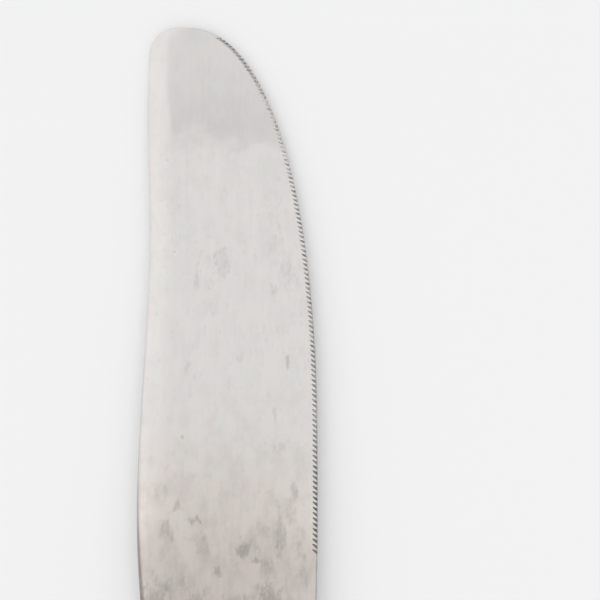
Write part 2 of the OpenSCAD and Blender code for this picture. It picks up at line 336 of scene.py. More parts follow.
# %% Picking, rings and drawing out
def deselect():
    if bpy.context.object and bpy.context.object.mode != "OBJECT":
        bpy.ops.object.mode_set(mode="OBJECT")
    bpy.ops.object.select_all(action="DESELECT")


def pick(test):
    """Selects the vertices whose place passes the test, in edit mode."""
    mesh = bmesh.from_edit_mesh(bpy.context.object.data)
    bpy.ops.mesh.select_all(action="DESELECT")
    for vertex in mesh.verts:
        vertex.select = test(vertex.co)
    mesh.select_flush(True)
    bmesh.update_edit_mesh(bpy.context.object.data)


def near(value, wanted):
    return abs(value - wanted) < 1e-3


def add_ring(count, y, half_w, half_t, share):
    """Adds a ring across Y: flat above and below, with elliptical sides."""
    bpy.ops.mesh.primitive_circle_add(vertices=count, radius=1, fill_type="NOTHING",
                                      location=(0, y, 0), rotation=(pi / 2, pi / 2, 0))
    if bpy.context.object.mode != "EDIT":
        bpy.ops.object.transform_apply(location=True, rotation=True)
        bpy.ops.object.mode_set(mode="EDIT")
        bpy.ops.mesh.select_all(action="SELECT")
    middle = (0, y, 0)
    bpy.ops.transform.resize(value=(share, 1, 1), center_override=middle)
    for side in (-1, 1):
        pick(lambda co: near(co.y, y) and co.x * side > 0)
        bpy.ops.transform.translate(value=(side * (1 - share), 0, 0))
    pick(lambda co: near(co.y, y))
    bpy.ops.transform.resize(value=(half_w, 1, half_t), center_override=middle)

# %% Drawing out, applying modifiers and laying a piece down
def draw_out(ring, sections):
    """Extrudes the selected ring through sections of (y, half width, half thickness)."""
    y, half_w, half_t = ring
    for next_y, next_w, next_t in sections:
        bpy.ops.mesh.extrude_region_move(TRANSFORM_OT_translate={"value": (0, next_y - y, 0)})
        bpy.ops.transform.resize(value=(next_w / half_w, 1, next_t / half_t),
                                 center_override=(0, next_y, 0))
        y, half_w, half_t = next_y, next_w, next_t


def apply_modifier(piece, kind, **settings):
    deselect()
    bpy.context.view_layer.objects.active = piece
    piece.select_set(True)
    bpy.ops.object.modifier_add(type=kind)
    modifier = piece.modifiers[-1]
    for name, value in settings.items():
        setattr(modifier, name, value)
    bpy.ops.object.modifier_apply(modifier=modifier.name)


def cut(piece, cutter, operation="DIFFERENCE"):
    """Cuts one piece with another, or joins it on, and removes the other."""
    apply_modifier(piece, "BOOLEAN", object=cutter, operation=operation, solver="EXACT")
    bpy.data.objects.remove(cutter)


def lay(piece, name, smooth_angle):
    """Names a finished piece, smooths it and lays it on the table."""
    deselect()
    bpy.context.view_layer.objects.active = piece
    piece.select_set(True)
    piece.name = piece.data.name = name
    piece.matrix_world = lay_down @ piece.matrix_world
    bpy.ops.object.transform_apply(location=True, rotation=True, scale=True)
    bpy.ops.object.shade_smooth_by_angle(angle=radians(smooth_angle))
    print(name, len(piece.data.polygons), "faces", [round(v * 1000, 2) for v in piece.dimensions])

# %% [markdown]
# ## Blade: the upper face
#
# A blade is forged flat, cut to its outline and then ground thinner from spine to edge. It could
# be sculpted, or cut out of a slab with booleans, but a grid follows the real steps: its rows
# take the width of the outline, and its columns are then pressed down as the grinding wheel does.

# %% Rows and columns of the blade
flare_l = 12
tip_rows, tip_reach, row_step = 36, 12, 0.9
blade_end = blade_l - flare_l
rows = [tip_reach * (i / tip_rows) ** 2 for i in range(tip_rows + 1)]
rest_rows = round((blade_end - tip_reach) / row_step)
rows += [mix(tip_reach, blade_end, i / rest_rows) for i in range(1, rest_rows + 1)]

# Each column has a share of the width and a share of the spine's half thickness. The first few
# go round the spine's corner, the others lie evenly on the face, and the last is the edge itself
round_n, face_n = 6, 22
round_share, round_depth, edge_share = spine_r / 20, 0.3, 0.997
columns = [(0, 0)]
for i in range(round_n):
    turn = pi / 2 * i / (round_n - 1)
    columns.append((round_share * (1 - cos(turn)), 1 - round_depth * (1 - sin(turn))))
for i in range(1, face_n + 1):
    columns.append((mix(round_share, edge_share, i / face_n), 1))
columns.append((1, 0))
print(len(rows), "rows,", len(columns), "columns")

# %% Lay out the columns
aside = 10
deselect()
bpy.ops.mesh.primitive_grid_add(x_subdivisions=len(columns) - 1, y_subdivisions=len(rows) - 1,
                                size=1, location=(0.5, 0, 0))
blade = bpy.context.object
bpy.ops.object.transform_apply(location=True)
bpy.ops.object.mode_set(mode="EDIT")
column_step = 1 / (len(columns) - 1)
places = [i * column_step for i in range(len(columns))]
pick(lambda co: True)
bpy.ops.transform.translate(value=(aside, 0, 0))
for i, (share, lift) in enumerate(columns):
    pick(lambda co: near(co.x, aside + places[i]))
    bpy.ops.transform.translate(value=(share - aside - places[i], 0, lift))
print("columns laid out")

# %% Bring each row to its station, width and thickness
row_gap = 1 / (len(rows) - 1)
far_aside = -1000
pick(lambda co: True)
bpy.ops.transform.translate(value=(0, far_aside, 0))
for i, s in enumerate(rows):
    start = far_aside + 0.5 - i * row_gap
    pick(lambda co: abs(co.y - start) < row_gap / 3)
    left = spine_line(s)
    bpy.ops.transform.resize(value=(edge_line(s) - left, 1, spine_half(s)),
                             center_override=(0, start, 0))
    bpy.ops.transform.translate(value=(left, tip_y - s - start, 0))
    # The spine's corner grows rounder towards the bolster
    growth = spine_radius(s) / spine_r
    pick(lambda co: near(co.y, tip_y - s) and co.z > 1e-6
         and co.x < left + 1.01 * round_share * (edge_line(s) - left))
    bpy.ops.transform.resize(value=(growth, 1, growth),
                             center_override=(left, tip_y - s, spine_half(s)))
print("rows in place")

# %% Grind the face from spine to edge, and round the rim of the tip
edge_t, grind_power = 0.5, 1.6
rim_round = 0.12


def rim(s):
    """The share of its thickness that the blade keeps just behind its tip."""
    return mix(rim_share, 1, quarter(s / rim_l, 2)) * quarter(s / rim_round, 2)


mesh = bmesh.from_edit_mesh(blade.data)
for i, (share, lift) in enumerate(columns):
    if lift < 1 or share <= round_share:
        continue
    bpy.ops.mesh.select_all(action="DESELECT")
    for vertex in mesh.verts:
        s = tip_y - vertex.co.y
        width = edge_line(s) - spine_line(s)
        vertex.select = abs((vertex.co.x - spine_line(s)) / width - share) < 1e-3
    mesh.select_flush(True)
    ground = (share / edge_share) ** grind_power
    bpy.ops.transform.resize(value=(1, 1, 1 - ground), center_override=(0, 0, edge_t / 2))
for s in rows:
    if s < rim_l:
        pick(lambda co: abs(tip_y - s - co.y) < 1e-4)
        bpy.ops.transform.resize(value=(1, 1, rim(s)), center_override=(0, tip_y - s, 0))
bpy.ops.object.mode_set(mode="OBJECT")
apply_modifier(blade, "MIRROR", use_axis=(False, False, True), merge_threshold=1e-4)
print("blade", [round(v, 2) for v in blade.dimensions])

# %% [markdown]
# ## Bolster and flare
#
# The bolster is the thick oval stop between blade and handle, forged from the same bar. A circle
# squeezed to its oval is drawn out, with a narrow groove round its middle. The bridge tool joins
# it to the blade's last section, and sliding the bridge's rows turns a straight slope into the
# hollow sweep of a forging.

# %% Draw out the bolster
bolster_t, bolster_share = 6.9, 0.75
bolster_groove, bolster_groove_w = 0.45, 2.4
joint_chamfer, chamfer_l = 0.25, 0.3


def bolster_inset(t):
    """How far the bolster's side lies in, at a distance behind its front."""
    return (bolster_groove * bump((t - bolster_l / 2) / bolster_groove_w + 0.5)
            + joint_chamfer * clamp01(1 - (bolster_l - t) / chamfer_l))


bolster_n = 28
ring_count = 2 * (len(columns) - 1)
bpy.ops.object.mode_set(mode="EDIT")
add_ring(ring_count, bolster_l, bolster_w / 2, bolster_t / 2, bolster_share)
depths = [(bolster_l - chamfer_l) * i / bolster_n for i in range(1, bolster_n + 1)] + [bolster_l]
draw_out((bolster_l, bolster_w / 2, bolster_t / 2),
         [(bolster_l - t, bolster_w / 2 - bolster_inset(t), bolster_t / 2 - bolster_inset(t))
          for t in depths])
bpy.ops.mesh.edge_face_add()
print("bolster drawn out in", len(depths), "steps")

# %% Bridge blade and bolster
flare_power = 2.4
bridge_n = 32
blade_end_y = tip_y - blade_end
pick(lambda co: near(co.y, blade_end_y) or near(co.y, bolster_l))
bpy.ops.mesh.bridge_edge_loops(type="SINGLE", number_cuts=bridge_n - 1, interpolation="LINEAR",
                               profile_shape_factor=0)
for i in range(bridge_n - 1, 0, -1):
    start = blade_end_y - flare_l * i / bridge_n
    stop = blade_end_y - flare_l * (i / bridge_n) ** (1 / flare_power)
    pick(lambda co: near(co.y, start))
    bpy.ops.transform.translate(value=(0, stop - start, 0))
bpy.ops.mesh.select_all(action="SELECT")
bpy.ops.mesh.normals_make_consistent(inside=False)
bpy.ops.object.mode_set(mode="OBJECT")
print("blade and bolster:", len(blade.data.polygons), "faces")

# %% [markdown]
# ## Tang
#
# The tang is the bar behind the bolster that the handle's cement grips. It is out of sight, but
# it belongs to the blade, so a cube is tapered to its shape, notched with cylinders and joined on.

# %% Tang
tang_l, tang_w, tang_end_w, tang_t = 46, 6.4, 3.6, 2.6
tang_root, tang_bevel = 1, 0.6
notch_d, notch_n, notch_r = 0.7, 3, 1.5
ferrule_wall = 1
deselect()
bpy.ops.mesh.primitive_cube_add(size=1, location=(0, (tang_root - tang_l) / 2, 0),
                                scale=(tang_w, tang_root + tang_l, tang_t))
tang = bpy.context.object
bpy.ops.object.transform_apply(location=True, scale=True)
bpy.ops.object.mode_set(mode="EDIT")
tang_straight = ferrule_wall + 1
bpy.ops.mesh.bisect(plane_co=(0, -tang_straight, 0), plane_no=(0, 1, 0))
pick(lambda co: near(co.y, -tang_l))
bpy.ops.transform.resize(value=(tang_end_w / tang_w, 1, 1), center_override=(0, -tang_l, 0))
bpy.ops.mesh.bevel(offset=tang_bevel, segments=2)
bpy.ops.object.mode_set(mode="OBJECT")
notch_step = (tang_l - tang_straight) / (notch_n + 1)
for i in range(1, notch_n + 1):
    half = mix(tang_w, tang_end_w, i / (notch_n + 1)) / 2
    for side in (-1, 1):
        deselect()
        bpy.ops.mesh.primitive_cylinder_add(
            vertices=32, radius=notch_r, depth=2 * tang_t,
            location=(side * (half - notch_d + notch_r), -tang_straight - i * notch_step, 0))
        cut(tang, bpy.context.object)
cut(blade, tang, "UNION")
print("with its tang the blade has", len(blade.data.polygons), "faces")

# %% [markdown]
# ## Serration
#
# The edge is finely toothed: a profiled wheel grinds one groove after another into one face only.
# They could be a bump in the material, but real cuts catch the light at every angle and notch the
# outline. One cylinder per groove is set along the curved edge at an even pitch, leaning
# outwards and back, and a single boolean cuts them all. Round the tip the grooves lie nearer to
# the edge's own direction, so that they run together into one dark line, as the photograph shows.

# %% Cut the grooves
groove_pitch, groove_from, groove_to = 0.616, 1.6, 68
groove_r, groove_l, groove_d = 0.15, 0.65, 0.2
# How many degrees a groove leans back, along the side and round the tip, and where the tip begins
groove_slant, tip_slant = 34, 56
tip_slant_from, tip_slant_to = 30, 44


def edge_turn(s):
    """The angle between the edge and the knife's length, from two places close together."""
    return atan((edge_line(s + 0.05) - edge_line(s - 0.05)) / 0.1)


deselect()
steel, groove_steel = (bpy.data.materials.new(name) for name in ("ground_steel", "ground_groove"))
fall = atan(groove_d / groove_l)
past = 0.5  # how far a cylinder reaches past both ends of its groove
cutter = None
s, groove_count = groove_from, 0
while s < groove_to:
    turn = edge_turn(s)
    round_tip = ease((degrees(turn) - tip_slant_from) / (tip_slant_to - tip_slant_from))
    turn -= radians(mix(groove_slant, tip_slant, round_tip))
    along = Vector((cos(fall) * cos(turn), cos(fall) * sin(turn), -sin(fall)))
    length = groove_l / cos(fall)
    mouth = Vector((edge_line(s), tip_y - s, edge_t / 2 - groove_d + groove_r / cos(fall)))
    bpy.ops.mesh.primitive_cylinder_add(
        vertices=12, radius=groove_r, depth=length + 2 * past,
        location=mouth - along * length / 2, rotation=(0, pi / 2 + fall, turn))
    if cutter is None:
        cutter = bpy.context.object
        bpy.ops.object.transform_apply(location=True, rotation=True)
        bpy.ops.object.mode_set(mode="EDIT")
    groove_count += 1
    s += groove_pitch * cos(edge_turn(s))
bpy.ops.object.mode_set(mode="OBJECT")
for piece in (blade, cutter):
    piece.data.materials.clear()
    piece.data.materials.append(steel)
    piece.data.materials.append(groove_steel)
for face in cutter.data.polygons:
    face.material_index = 1
cut(blade, cutter)
lay(blade, "ground_blade", 32)
print(groove_count, "grooves,", sum(face.material_index for face in blade.data.polygons),
      "faces in them")

# %% [markdown]
# ## Ferrule
#
# The ferrule is a cap that finishes the handle's front, with a bead pressed into it and a spigot
# that goes into the shells. It is drawn out like the bolster: along the outside, in over its
# shoulder, down the spigot and back up inside. A boolean cuts the slot for the tang.

# %% Width and thickness of the handle
handle_l, front_w, grip_w, grip_at = 105, 13.6, 13, 15
front_drop, swell_l = 0.7, 7
butt_l, butt_blunt = 12, 0.998
butt_power_across, butt_power_up = 2.2, 2.6
straight_d = handle_l - butt_l


def handle_half_w(d):
    grip = mix(front_w, grip_w, ease(d / grip_at))
    return mix(grip, butt_w, ease((d - grip_at) / (straight_d - grip_at))) / 2


def handle_half_t(d):
    return neck_t / 2 + taper * d - front_drop / 2 * (1 - ease(d / swell_l))


def butt_factor(d, power):
    u = min(clamp01((d - straight_d) / butt_l), butt_blunt)
    return (1 - u ** power) ** (1 / power)


def section(d, inset=0.0):
    """The handle's section behind the joint: y, half width and half thickness."""
    return (-d, (handle_half_w(d) - inset) * butt_factor(d, butt_power_across),
            (handle_half_t(d) - inset) * butt_factor(d, butt_power_up))


print("handle thickness at the butt:", round(2 * handle_half_t(straight_d), 2), "mm")
print("the knife is", tip_y + handle_l, "mm long")

# %% Ferrule
ferrule_l, bead_h, bead_l = 5, 0.3, 1.8
spigot_l, spigot_wall, shell_wall = 3, 0.6, 0.8
gap, solder_t = 0.05, 0.12
side_count, side_share = 66, 0.6
shell_d = ferrule_l + solder_t
spigot_d = shell_d + spigot_l


def ferrule_inset(d):
    return (joint_chamfer * clamp01(1 - d / chamfer_l)
            - bead_h * bump((d - chamfer_l) / bead_l))


bead_n = 16
spigot_outer = shell_wall + gap
spigot_inner = spigot_outer + spigot_wall
bead_end = chamfer_l + bead_l
outside = [chamfer_l + bead_l * i / bead_n for i in range(bead_n + 1)]
outside += [bead_end + 1, bead_end + 2, ferrule_l]
deselect()
front = section(0, joint_chamfer)
add_ring(side_count, *front, side_share)
ferrule = bpy.context.object
bpy.ops.mesh.edge_face_add()
pick(lambda co: True)
draw_out(front, [section(d, ferrule_inset(d)) for d in outside]
         + [section(ferrule_l, spigot_outer), section(spigot_d, spigot_outer),
            section(spigot_d, spigot_inner), section(ferrule_wall, spigot_inner)])
bpy.ops.mesh.edge_face_add()
bpy.ops.mesh.select_all(action="SELECT")
bpy.ops.mesh.normals_make_consistent(inside=False)
deselect()
bpy.ops.mesh.primitive_cube_add(
    size=1, scale=(tang_w + 2 * gap, 3 * ferrule_wall, tang_t + 2 * gap))
cut(ferrule, bpy.context.object)
lay(ferrule, "beaded_ferrule", 38)

# %% [markdown]
# ## Handle shells
#
# The hollow handle is two stamped halves, soldered along a seam round the sides. One smooth body
# is drawn out from the ferrule to the rounded butt. A copy of it is then bisected on each side
# of the seam, and Solidify gives the half its sheet-metal wall.

# %% Draw out the whole handle
handle_n, butt_n = 70, 26
stations = [shell_d + (straight_d - shell_d) * i / handle_n for i in range(1, handle_n + 1)]
stations += [straight_d + butt_l * sin(pi / 2 * i / butt_n) for i in range(1, butt_n + 1)]
deselect()
add_ring(side_count, *section(shell_d), side_share)
body = bpy.context.object
draw_out(section(shell_d), [section(d) for d in stations])
bpy.ops.mesh.edge_face_add()
bpy.ops.mesh.select_all(action="SELECT")
bpy.ops.mesh.normals_make_consistent(inside=False)
deselect()
print("handle body", [round(v, 2) for v in body.dimensions])

# %% Part it into an upper and a lower shell
shells = []
for side, name in ((1, "upper_shell"), (-1, "lower_shell")):
    deselect()
    body.select_set(True)
    bpy.context.view_layer.objects.active = body
    bpy.ops.object.duplicate()
    shell = bpy.context.object
    bpy.ops.object.mode_set(mode="EDIT")
    bpy.ops.mesh.select_all(action="SELECT")
    bpy.ops.mesh.bisect(plane_co=(0, 0, side * solder_t / 2), plane_no=(0, 0, side),
                        clear_inner=True, threshold=1e-5)
    bpy.ops.object.mode_set(mode="OBJECT")
    apply_modifier(shell, "SOLIDIFY", thickness=shell_wall, offset=-1, use_even_offset=True)
    lay(shell, name, 38)
    shells.append(shell)
bpy.data.objects.remove(body)
upper_shell, lower_shell = shells

# %% [markdown]
# ## Places on the blade
#
# A used blade isn't one grey. Fine grinding lines run along it, water has left faint stains, the
# front is hazy from scouring, and it is darker where spine and edge turn away, with a painted dark
# reflection on the spine's corner and painted shade inside the edge at the tip. Such a finish
# could be painted as an image, but a chain of nodes has no resolution and moves with the blade. It
# needs to know where on the blade a point lies. Two numbers kept at each vertex, the distances
# to spine and edge, let it follow the outline.

# %% Places in millimetres, noise and measured distances
def in_mm(tree):
    """The place on a piece in millimetres of the maker's frame."""
    place = add_node(tree, "ShaderNodeTexCoord").outputs["Object"]
    return add_node(tree, "ShaderNodeMapping", {
        "Vector": place, "Scale": (1000, 1000, 1000),
        "Location": (-slide_x, -slide_y, -slide_z)}).outputs[0]


def noise(tree, place, sizes, detail=3.0, roughness=0.5, shift=0.0):
    """Noise with features of the given sizes in millimetres."""
    spread = add_node(tree, "ShaderNodeMapping", {
        "Vector": place, "Scale": tuple(1 / size for size in sizes),
        "Location": (shift, shift / 2, shift / 3)}).outputs[0]
    return add_node(tree, "ShaderNodeTexNoise", {
        "Vector": spread, "Scale": 1.0, "Detail": detail, "Roughness": roughness}).outputs["Fac"]


def measure(piece, name, formula):
    """Keeps a number at each vertex of a laid piece, from its place in the maker's frame."""
    stand_up = lay_down.inverted()
    values = [formula(stand_up @ vertex.co) for vertex in piece.data.vertices]
    piece.data.attributes.new(name, "FLOAT", "POINT").data.foreach_set("value", values)
    print(name, "from", round(min(values), 2), "to", round(max(values), 2))


def station(p):
    """How far a place lies behind the tip."""
    return min(max(tip_y - p.y, 0), blade_l)


measure(blade, "from_spine", lambda p: p.x - spine_line(station(p)))
measure(blade, "from_edge",
        lambda p: (edge_line(station(p)) - p.x) * cos(edge_turn(max(station(p), 0.2))))

# %% [markdown]
# ## Water stains
#
# Drops that dried on the steel have left marks, and no two are alike. Noise alone would scatter
# them evenly, so they are listed one by one, as ovals: a crowd in the middle of the blade, a looser
# group further forward, and a few long faint ones near the tip. Two nodes measure how deep a
# point lies inside each oval, and noise added to that depth makes the outline ragged.

# %% The list of stains
stains = (
    # x, y, half width, half length in mm, darkness
    (-9.3, 59.8, 0.80, 1.50, 0.20), (-10.6, 64.6, 0.30, 0.60, 0.14), (-9.5, 64.4, 0.26, 0.70, 0.14),
    (-8.1, 62.7, 0.36, 0.55, 0.21), (-5.8, 61.0, 0.60, 0.26, 0.30), (-4.9, 57.9, 0.60, 1.40, 0.19),
    (-0.2, 57.8, 0.60, 0.75, 0.28), (2.1, 59.6, 1.15, 0.75, 0.17), (1.3, 57.6, 0.80, 1.10, 0.16),
    (-3.0, 55.4, 0.38, 0.60, 0.28), (1.3, 56.3, 0.40, 0.45, 0.30), (4.1, 59.0, 0.62, 2.50, 0.22),
    (5.7, 64.2, 0.42, 0.90, 0.22), (5.3, 61.9, 0.80, 1.50, 0.17), (7.0, 55.4, 0.55, 1.20, 0.20),
    (2.5, 55.4, 0.80, 1.00, 0.18), (6.2, 58.2, 0.80, 1.40, 0.16), (4.1, 69.7, 1.70, 0.65, 0.13),
    (-8.6, 53.3, 0.30, 1.50, 0.18), (-7.3, 53.3, 0.30, 1.50, 0.18), (2.6, 52.4, 1.40, 1.50, 0.26),
    (-10.2, 52.0, 1.70, 2.00, 0.25), (-5.6, 51.6, 1.80, 1.30, 0.18), (-0.4, 51.4, 1.40, 1.00, 0.20),
    (4.9, 80.2, 0.20, 0.66, 0.24), (-0.9, 80.4, 0.40, 0.55, 0.11), (-2.2, 77.3, 0.18, 0.90, 0.12),
    (-7.3, 79.3, 0.35, 0.90, 0.14), (-6.9, 76.6, 0.30, 0.80, 0.09), (3.4, 73.1, 0.18, 1.10, 0.15),
    (-7.7, 70.8, 0.20, 0.22, 0.20), (-4.9, 92.9, 0.30, 1.10, 0.10), (-3.3, 92.6, 1.00, 1.90, 0.15),
    (-3.0, 94.5, 0.55, 0.30, 0.16), (-3.0, 102.2, 0.20, 0.90, 0.12), (-3.5, 100.6, 0.45, 1.20, 0.06),
    (-2.7, 97.4, 0.40, 1.60, 0.05), (0.9, 93.6, 0.24, 0.70, 0.12), (-6.4, 90.6, 0.30, 1.20, 0.15),
    (-4.6, 89.6, 0.55, 0.75, 0.10), (3.4, 95.6, 1.00, 2.60, 0.11), (4.7, 91.2, 0.80, 1.90, 0.12),
    (5.9, 90.4, 0.50, 1.30, 0.10), (3.1, 89.0, 0.42, 0.70, 0.13), (-4.2, 87.2, 1.30, 1.40, 0.08),
    (3.3, 99.5, 1.20, 3.00, 0.08), (-9.4, 99.8, 0.45, 3.40, 0.07), (4.2, 84.0, 0.90, 0.50, 0.08),
    (-9.2, 93.9, 0.17, 0.17, 0.26), (-10.5, 106.4, 0.16, 0.18, 0.22), (-8.5, 111.9, 0.14, 0.16, 0.18),
    (-4.4, 110.9, 1.50, 1.00, 0.06), (-0.9, 110.6, 0.90, 0.70, 0.04), (-0.8, 114.6, 0.90, 0.90, 0.03),
    (-3.2, 99.6, 0.50, 5.00, 0.04), (-5.3, 97.0, 0.35, 4.50, 0.03), (-1.2, 99.0, 0.40, 5.50, 0.03),
)
fades_out, fades_in = 1.85, 0.25


def stain_darkness(tree, place, marks, ragged):
    """The darkness of the deepest of some ragged oval marks."""
    deepest = None
    for x, y, half_w, half_l, darkness in marks:
        centred = add_node(tree, "ShaderNodeMapping", {
            "Vector": place, "Location": (x, y, 0), "Scale": (half_w, half_l, 1000)},
            vector_type="TEXTURE").outputs[0]
        reach = add_node(tree, "ShaderNodeVectorMath", {0: centred}, operation="LENGTH")
        reach = plus(tree, reach.outputs["Value"], ragged)
        depth = remap(tree, reach, fades_out, fades_in, 0.0, darkness)
        deepest = depth if deepest is None else calc(tree, "MAXIMUM", deepest, depth)
    return deepest


print(len(stains), "stains")

# %% Ground steel: where a point lies
tree, shader = start_finish(steel)
place = in_mm(tree)
split = add_node(tree, "ShaderNodeSeparateXYZ", {0: place})
across, along = split.outputs["X"], split.outputs["Y"]
from_spine = add_node(tree, "ShaderNodeAttribute", attribute_name="from_spine").outputs["Fac"]
from_edge = add_node(tree, "ShaderNodeAttribute", attribute_name="from_edge").outputs["Fac"]
rear_from, rear_full = 78, 56
rear = remap(tree, along, rear_from, rear_full)
print("the rear sets in between", rear_from, "and", rear_full, "mm")

# %% Ground steel: stains
def vector_calc(tree, operation, a, b):
    return add_node(tree, "ShaderNodeVectorMath", {0: a, 1: b}, operation=operation).outputs[0]


wobble_spread, sway = (2.2, 0.9, 1.0), (0.8, 2.4, 0)
drawn_out = add_node(tree, "ShaderNodeMapping", {"Vector": place, "Scale": wobble_spread})
wobble = add_node(tree, "ShaderNodeTexNoise", {
    "Vector": drawn_out.outputs[0], "Scale": 1.0, "Detail": 4.0, "Roughness": 0.65})
wobble = vector_calc(tree, "SUBTRACT", wobble.outputs["Color"], (0.5, 0.5, 0.5))
wandering = vector_calc(tree, "ADD", place, vector_calc(tree, "MULTIPLY", wobble, sway))
ragged = noise(tree, place, (0.75, 1.30, 1.0), detail=4.0, roughness=0.6, shift=17.0)
ragged = remap(tree, ragged, 0.25, 0.75, -1.0, 1.0, smooth=False)
stained = stain_darkness(tree, wandering, stains, ragged)

# Inside a stain the darkness is patchy, and most so where it is faint
grit = noise(tree, place, (0.34, 0.90, 0.7), detail=6.0, roughness=0.68, shift=5.0)
patchy = plus(tree, grit, times(tree, stained, 1.2))
stained = times(tree, stained, remap(tree, patchy, 0.48, 0.84, 0.25, 1.0))

# Fine specks lie behind the hazy front, and coarser ones in the half next to the bolster
specks = noise(tree, place, (0.45, 1.0, 0.7), detail=4.0, shift=21.0)
specks = times(tree, remap(tree, specks, 0.60, 0.68, 0.0, 0.045), remap(tree, along, 109, 105))
coarse = noise(tree, place, (0.9, 2.2, 1.5), detail=5.0, roughness=0.62, shift=31.0)
coarse = times(tree, remap(tree, coarse, 0.57, 0.66, 0.0, 0.13), remap(tree, along, 54, 48))
marks = plus(tree, plus(tree, stained, specks), coarse)
print("stains:", len(tree.nodes), "nodes")

# %% [markdown]
# ## Haze and tone
#
# Scouring has left the front of the blade hazy, and the haze ends in a ragged line with a tongue
# in it. It stops short of a strip along the spine, which stays bright as a painted highlight. The
# tone is one number, built up by making it darker or lighter step by step, so that each stain,
# wear mark or painted light and shade stays a line of its own.

# %% Ground steel: haze
def off(tree, value, middle):
    """How far a value is from a middle, either way."""
    return calc(tree, "ABSOLUTE", minus(tree, value, middle))


haze_from, haze_full = 106.4, 111.4
tongue_x, tongue_reach, fray = -1.9, 1.5, 1.8
tongue = remap(tree, off(tree, across, tongue_x), 2.6, 0.4, 0.0, tongue_reach)
frayed = noise(tree, place, (3.2, 2.8, 3.0), detail=3.0, shift=9.0)
frayed = remap(tree, frayed, 0.3, 0.7, -fray, fray, smooth=False)
haze_reach = plus(tree, plus(tree, along, tongue), frayed)
# The haze stops at a strip along the spine, left bright as a painted highlight
highlight_line = remap(tree, along, 109, 117, -10.0, -10.8)
beside_highlight = remap(tree, minus(tree, across, highlight_line), -0.4, 0.4)
haze = times(tree, remap(tree, haze_reach, haze_from, haze_full), beside_highlight)
print("haze from", haze_from, "to", haze_full, "mm")

# %% Ground steel: tone of the face
streaks = noise(tree, place, (0.50, 9.0, 3.0), detail=4.0, roughness=0.65)
mottle = noise(tree, place, (2.2, 3.6, 3.0), detail=5.0, roughness=0.62, shift=7.0)
# Behind the hump the mottle's low end goes darker, a painted dark reflection
mottle_low = minus(tree, 0.97, times(tree, rear, 0.08))
tone = times(tree, remap(tree, streaks, 0.3, 0.7, 0.984, 1.012, smooth=False),
             remap(tree, mottle, 0.34, 0.60, mottle_low, 1.01))
tone = darker(tree, tone, times(tree, haze, remap(tree, along, 122, 110, 0.055, 0.11)))
tone = darker(tree, tone, marks)

# Behind the hump, darker on the cutting edge's half and towards both sides: painted dark reflection
edge_half = times(tree, remap(tree, along, 62, 56), remap(tree, across, -1, 4, 0.0, 0.09))
both_sides = remap(tree, off(tree, across, -1.5), 5.0, 8.5, 0.0, 0.06)
both_sides = times(tree, both_sides, remap(tree, along, 60.5, 57.5))
heel_painted_reflection = calc(tree, "MAXIMUM", edge_half, both_sides)
tone = darker(tree, tone, times(tree, heel_painted_reflection, remap(tree, along, 34, 46)))
print("tone of the face:", len(tree.nodes), "nodes")

# %% [markdown]
# ## Spine, cutting edge and bolster
#
# A band along the spine and its outermost rim are lighter, a painted highlight. Behind the hump
# the spine's round corner is dark, a painted dark reflection; along the serration the steel is
# darker, round the tip a painted shade lies just inside the edge, and tarnish stays in the groove
# of the bolster. The two measured distances make such lines follow the outline.

# %% Ground steel: along spine and cutting edge
def lighter(tree, tone, share):
    """A tone with the given share of it added."""
    return times(tree, tone, plus(tree, 1.0, share))


def dark_line(tree, distance, at, width, depth):
    """A darker soft line at some distance from a rim."""
    return remap(tree, calc(tree, "DIVIDE", off(tree, distance, at), width), 1.3, 0.3, 0.0, depth)


heel_fade = remap(tree, along, 14, 24)
# A band along the spine is made lighter, a painted highlight
spine_painted_highlight = times(tree, remap(tree, from_spine, 3.5, 0.8), remap(tree, along, 58, 62, 0.0, 0.10))
tone = lighter(tree, tone, spine_painted_highlight)
# The spine's round corner behind the hump is darkened, a painted dark reflection
corner_at = remap(tree, along, 66, 52, 0.10, 0.26, smooth=False)
corner_w = remap(tree, along, 66, 52, 0.10, 0.30, smooth=False)
corner_painted_reflection = times(tree, remap(tree, along, 72, 58, 0.02, 0.42), heel_fade)
tone = darker(tree, tone, dark_line(tree, from_spine, corner_at, corner_w, corner_painted_reflection))
# The spine's outermost rim is made lighter, a painted highlight
rim_painted_highlight = remap(tree, along, 76, 90, 0.0, 0.16)
tone = lighter(tree, tone, times(tree, remap(tree, from_spine, 0.18, 0.06), rim_painted_highlight))

# Darker along the serration
edge_darkening = remap(tree, from_edge, 0.24, 0.10, 0.0, remap(tree, along, 100, 80, 0.08, 0.30))
tone = darker(tree, tone, times(tree, edge_darkening, heel_fade))
# Round the tip a painted shade darkens a line just inside the edge
line_at = remap(tree, along, 112, 120, 0.22, 0.34)
line_w = remap(tree, along, 112, 120, 0.10, 0.22)
tip_edge_painted_shade = times(tree, remap(tree, along, 106, 118, 0.0, 0.32),
                  remap(tree, along, 124.0, 122.6))
tone = darker(tree, tone, dark_line(tree, from_edge, line_at, line_w, tip_edge_painted_shade))
print("rims:", len(tree.nodes), "nodes")

# %% Ground steel: tarnish on the bolster
def dirt_ring(tree, along, at, reach, core, depth):
    """Dirt in a line round a piece, at a place along it."""
    return remap(tree, off(tree, along, at), reach, core, 0.0, depth)


groove_dirt = dirt_ring(tree, along, bolster_l / 2, 1.2, 0.3, 0.34)
root_dirt = dirt_ring(tree, along, bolster_l + 0.6, 1.2, 0.0, 0.22)
joint_dirt = remap(tree, along, 0.35, 0.05, 0.0, 0.45)
tarnish = calc(tree, "MAXIMUM", calc(tree, "MAXIMUM", groove_dirt, root_dirt), joint_dirt)
tone = darker(tree, tone, times(tree, tarnish, remap(tree, mottle, 0.3, 0.6, 0.6, 1.1)))
print("bolster:", len(tree.nodes), "nodes")

